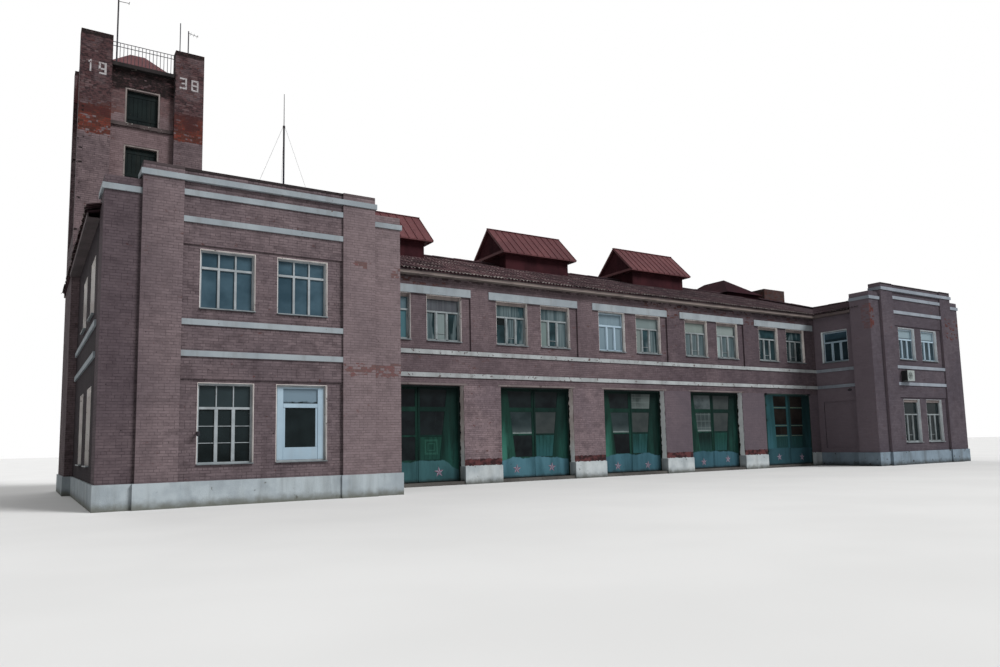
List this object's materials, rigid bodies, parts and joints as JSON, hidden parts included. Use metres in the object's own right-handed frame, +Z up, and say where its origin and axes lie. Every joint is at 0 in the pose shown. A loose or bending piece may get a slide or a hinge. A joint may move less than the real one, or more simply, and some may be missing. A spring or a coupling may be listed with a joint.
{
  "type": "half-size model of a fire station building",
  "caption": "Brick fire station with a hose tower, two projecting wings, an engine hall whose gates swing outward, and a hipped roof with ridge lanterns.",
  "frame": {"origin": "on the underside of the engine hall's floor, below the ridge, midway along the front", "axes": "+X along the front towards the right wing, +Y from the front to the rear, +Z up"},
  "size_m": [20.8, 6.775, 9.22],
  "materials": {
    "brick": "painted brick, weathered",
    "plinth_render": "painted render, stained",
    "white_band": "chipped white paint",
    "floor": "bare concrete",
    "roof_sheet": "weathered paint",
    "seamed_roof": "weathered paint",
    "eave_board": "worn paint",
    "lantern_board": "worn paint",
    "shutter_wood": "worn paint",
    "window_wood": "worn white paint",
    "window_glass": "clear",
    "gate_paint": "satin paint",
    "railing_paint": "worn paint",
    "sill_metal": "weathered sheet",
    "cooler_case": "worn white paint"
  },
  "bodies": {
    "building": {"chimney": "brick", "cooling_unit": "cooler_case", "garage_first_floor": "floor", "garage_floor": "floor", "garage_lintels": "white_band", "garage_pier_plinths": "plinth_render", "garage_piers": "brick", "garage_string_courses": "white_band", "garage_upper_wall": "brick", "garage_window_frames": "window_wood", "gate_frames": "gate_paint", "hall_eaves": "eave_board", "lantern_bodies": "lantern_board", "lantern_roofs": "seamed_roof", "left_wing_bands": "white_band", "left_wing_eaves": "eave_board", "left_wing_front_wall": "brick", "left_wing_inner_wall": "brick", "left_wing_outer_wall": "brick", "left_wing_plinth": "plinth_render", "left_wing_roof": "roof_sheet", "left_wing_window_frames": "window_wood", "main_roof": "roof_sheet", "masts": "railing_paint", "old_lantern_body": "lantern_board", "old_lantern_roof": "roof_sheet", "rear_plinth": "plinth_render", "rear_wall": "brick", "rear_window_frames": "window_wood", "right_wing_bands": "white_band", "right_wing_eaves": "eave_board", "right_wing_front_wall": "brick", "right_wing_inner_wall": "brick", "right_wing_outer_wall": "brick", "right_wing_plinth": "plinth_render", "right_wing_roof": "roof_sheet", "right_wing_window_frames": "window_wood", "tower_cornice": "floor", "tower_front_wall": "brick", "tower_ledges": "white_band", "tower_railing": "railing_paint", "tower_rear_wall": "brick", "tower_roof": "seamed_roof", "tower_shutters": "shutter_wood", "tower_side_walls": "brick", "window_glass": "window_glass", "window_sills": "sill_metal", "wing_first_floors": "floor", "wing_ground_floors": "floor"},
    "gate_1_left_leaf": {"gate_1_left_leaf": "gate_paint"},
    "gate_1_right_leaf": {"gate_1_right_leaf": "gate_paint"},
    "gate_2_left_leaf": {"gate_2_left_leaf": "gate_paint"},
    "gate_2_right_leaf": {"gate_2_right_leaf": "gate_paint"},
    "gate_3_left_leaf": {"gate_3_left_leaf": "gate_paint"},
    "gate_3_right_leaf": {"gate_3_right_leaf": "gate_paint"},
    "gate_4_left_leaf": {"gate_4_left_leaf": "gate_paint"},
    "gate_4_right_leaf": {"gate_4_right_leaf": "gate_paint"},
    "gate_5_left_leaf": {"gate_5_left_leaf": "gate_paint"},
    "gate_5_right_leaf": {"gate_5_right_leaf": "gate_paint"}
  },
  "joints": [
    {"name": "gate_1_left_hinge", "type": "hinge", "parent": "building", "child": "gate_1_left_leaf", "pos_m": [-5.8555, -2.235, 0.93], "axis": [0, 0, -1], "range_deg": [0, 90]},
    {"name": "gate_1_right_hinge", "type": "hinge", "parent": "building", "child": "gate_1_right_leaf", "pos_m": [-4.1965, -2.235, 0.93], "axis": [0, 0, 1], "range_deg": [0, 90]},
    {"name": "gate_2_left_hinge", "type": "hinge", "parent": "building", "child": "gate_2_left_leaf", "pos_m": [-3.3275, -2.235, 0.93], "axis": [0, 0, -1], "range_deg": [0, 90]},
    {"name": "gate_2_right_hinge", "type": "hinge", "parent": "building", "child": "gate_2_right_leaf", "pos_m": [-1.6685, -2.235, 0.93], "axis": [0, 0, 1], "range_deg": [0, 90]},
    {"name": "gate_3_left_hinge", "type": "hinge", "parent": "building", "child": "gate_3_left_leaf", "pos_m": [-0.7995, -2.235, 0.93], "axis": [0, 0, -1], "range_deg": [0, 90]},
    {"name": "gate_3_right_hinge", "type": "hinge", "parent": "building", "child": "gate_3_right_leaf", "pos_m": [0.8595, -2.235, 0.93], "axis": [0, 0, 1], "range_deg": [0, 90]},
    {"name": "gate_4_left_hinge", "type": "hinge", "parent": "building", "child": "gate_4_left_leaf", "pos_m": [1.7285, -2.235, 0.93], "axis": [0, 0, -1], "range_deg": [0, 90]},
    {"name": "gate_4_right_hinge", "type": "hinge", "parent": "building", "child": "gate_4_right_leaf", "pos_m": [3.3875, -2.235, 0.93], "axis": [0, 0, 1], "range_deg": [0, 90]},
    {"name": "gate_5_left_hinge", "type": "hinge", "parent": "building", "child": "gate_5_left_leaf", "pos_m": [4.2565, -2.41, 0.93], "axis": [0, 0, -1], "range_deg": [0, 90]},
    {"name": "gate_5_right_hinge", "type": "hinge", "parent": "building", "child": "gate_5_right_leaf", "pos_m": [5.9155, -2.41, 0.93], "axis": [0, 0, 1], "range_deg": [0, 90]}
  ]
}
